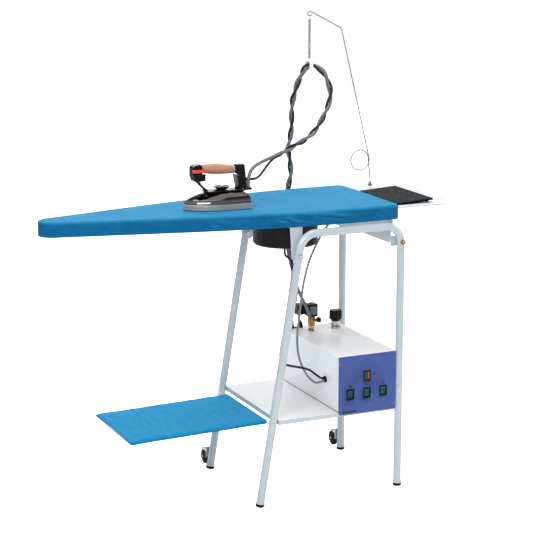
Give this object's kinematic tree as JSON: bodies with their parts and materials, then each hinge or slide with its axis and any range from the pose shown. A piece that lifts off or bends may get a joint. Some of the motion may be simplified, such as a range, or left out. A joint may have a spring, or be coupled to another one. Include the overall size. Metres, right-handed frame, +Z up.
{
  "type": "vacuum ironing station with steam generator and iron",
  "caption": "Padded vacuum ironing board on a bent-tube stand with a steam boiler, a steam iron, an iron rest, a spring hose mast and a garment tray.",
  "frame": {"origin": "on the floor, at the middle of the footprint of the whole station without its cords", "axes": "+Z up; +X along the board from its pointed nose to the iron rest; +Y from the operator's side to the back"},
  "size_m": [1.284, 0.4994, 1.4942],
  "materials": {
    "white_paint": "semi-gloss powder coat",
    "white_sheet": "glossy powder-coated sheet",
    "blue_cloth": "taut woven cotton cover",
    "blue_panel": "matt printed front panel",
    "black_plastic": "moulded, slightly glossy",
    "black_rubber": "matt",
    "bare_steel": "bright drawn or turned",
    "sole_aluminium": "satin cast and ground",
    "bright_chrome": "polished",
    "brass": "turned, slightly dulled",
    "green_lens": "translucent lit lens",
    "cork": "pressed cork",
    "red_plastic": "glossy",
    "grey_hose": "satin woven-look hose",
    "black_cable": "satin"
  },
  "bodies": {
    "root": {"front_leg_frame": "white_paint", "front_left_bracket": "white_paint", "front_left_foot": "black_rubber", "front_left_bolt": "brass", "front_right_foot": "black_rubber", "front_right_bolt": "brass", "back_leg_frame": "white_paint", "back_left_bracket": "white_paint", "back_left_foot": "black_rubber", "back_left_bolt": "brass", "back_right_foot": "black_rubber", "back_right_bolt": "brass", "right_crossbeam": "white_paint", "lower_shelf": "white_sheet", "left_castor_fork": "white_paint", "right_castor_fork": "white_paint", "boiler_cover": "white_sheet", "boiler_base": "white_sheet", "control_panel": "blue_panel", "indicator_lamp": "black_plastic", "boiler_tank": "bare_steel", "heating_element": "bare_steel", "filler_neck": "brass", "valve_body": "brass", "valve_coil": "black_plastic", "coil_connector": "black_plastic", "side_grommet": "black_rubber", "fan_housing": "black_plastic", "fan_motor": "bare_steel", "board_base": "white_sheet", "work_plate": "sole_aluminium", "board_cover": "blue_cloth", "rest_tray": "white_sheet", "rest_mat": "black_rubber", "mast_bushing": "black_plastic", "steam_hose": "grey_hose", "iron_cable": "black_cable", "board_cable": "grey_hose", "fan_cable": "black_cable"},
    "iron": {"iron_soleplate": "sole_aluminium", "iron_dome": "bright_chrome", "iron_handle": "black_plastic", "iron_grip": "cork"},
    "trigger": {"iron_trigger": "red_plastic"},
    "thermostat": {"thermostat_dial": "bright_chrome"},
    "rocker_left": {"rocker_switch_1": "green_lens"},
    "rocker_middle": {"rocker_switch_2": "green_lens"},
    "rocker_right": {"rocker_switch_3": "green_lens"},
    "filler_stem": {"filler_plug": "bare_steel"},
    "filler_cap": {"filler_grip": "black_plastic"},
    "steam_regulator": {"valve_knob": "black_plastic"},
    "armature": {"valve_armature": "bare_steel"},
    "wheel_left": {"left_wheel": "black_rubber"},
    "wheel_right": {"right_wheel": "black_rubber"},
    "fan_rotor": {"fan_impeller": "sole_aluminium"},
    "mast": {"mast_wire": "bare_steel", "tension_spring": "bare_steel"},
    "clip": {"hose_clip": "white_paint"},
    "tray": {"tray_frame": "bare_steel", "tray_cloth": "blue_cloth"}
  },
  "joints": [
    {"name": "iron_lift", "type": "slide", "parent": "root", "child": "iron", "axis": [0, 0, 1], "range_m": [0, 0.06], "deforming": ["steam_hose", "iron_cable"]},
    {"name": "trigger_press", "type": "hinge", "parent": "iron", "child": "trigger", "pos_m": [-0.162, -0.0613, 1.0368], "axis": [0, 1, 0], "range_deg": [0, 4], "stiffness_Nm_per_rad": 0.5},
    {"name": "thermostat_turn", "type": "hinge", "parent": "iron", "child": "thermostat", "pos_m": [-0.061, -0.0403, 0.9778], "axis": [0, 0, 1], "range_deg": [0, 270]},
    {"name": "rocker_left_tip", "type": "hinge", "parent": "root", "child": "rocker_left", "pos_m": [0.288, -0.2358, 0.329], "axis": [1, 0, 0], "range_deg": [-14, 0]},
    {"name": "rocker_middle_tip", "type": "hinge", "parent": "root", "child": "rocker_middle", "pos_m": [0.346, -0.2358, 0.329], "axis": [1, 0, 0], "range_deg": [-14, 0]},
    {"name": "rocker_right_tip", "type": "hinge", "parent": "root", "child": "rocker_right", "pos_m": [0.404, -0.2358, 0.329], "axis": [1, 0, 0], "range_deg": [-14, 0]},
    {"name": "filler_stem_rise", "type": "slide", "parent": "root", "child": "filler_stem", "axis": [0, 0, 1], "range_m": [0, 0.008]},
    {"name": "filler_cap_turn", "type": "hinge", "parent": "filler_stem", "child": "filler_cap", "pos_m": [0.407, 0.1017, 0.49], "axis": [0, 0, 1], "range_deg": [0, 1440]},
    {"name": "steam_regulator_turn", "type": "hinge", "parent": "root", "child": "steam_regulator", "pos_m": [0.318, 0.1007, 0.485], "axis": [0.6215, -0.7518, 0.2205], "range_deg": [0, 270]},
    {"name": "armature_lift", "type": "slide", "parent": "root", "child": "armature", "axis": [0, 0, 1], "range_m": [0, 0.003]},
    {"name": "wheel_left_roll", "type": "hinge", "parent": "root", "child": "wheel_left", "pos_m": [-0.012, 0.2247, 0.027], "axis": [1, 0, 0], "continuous": true},
    {"name": "wheel_right_roll", "type": "hinge", "parent": "root", "child": "wheel_right", "pos_m": [0.465, 0.2247, 0.027], "axis": [1, 0, 0], "continuous": true},
    {"name": "fan_spin", "type": "hinge", "parent": "root", "child": "fan_rotor", "pos_m": [0.163, -0.0253, 0.82], "axis": [0, 0, 1], "continuous": true},
    {"name": "mast_swivel", "type": "hinge", "parent": "root", "child": "mast", "pos_m": [0.552, 0.1427, 0.912], "axis": [0, 0, 1], "range_deg": [-25, 25], "deforming": ["steam_hose", "iron_cable"]},
    {"name": "spring_stretch", "type": "slide", "parent": "mast", "child": "clip", "axis": [0, 0, 1], "range_m": [-0.03, 0.02], "stiffness_N_per_m": 60, "deforming": ["tension_spring", "steam_hose", "iron_cable"]},
    {"name": "tray_fold", "type": "hinge", "parent": "root", "child": "tray", "pos_m": [0.02701, -0.0253, 0.256], "axis": [0, 1, 0], "range_deg": [0, 85]}
  ],
  "couplings": [
    {"joint": "filler_cap_turn", "follows": "filler_stem_rise", "rad_per_m": 3141.6}
  ]
}
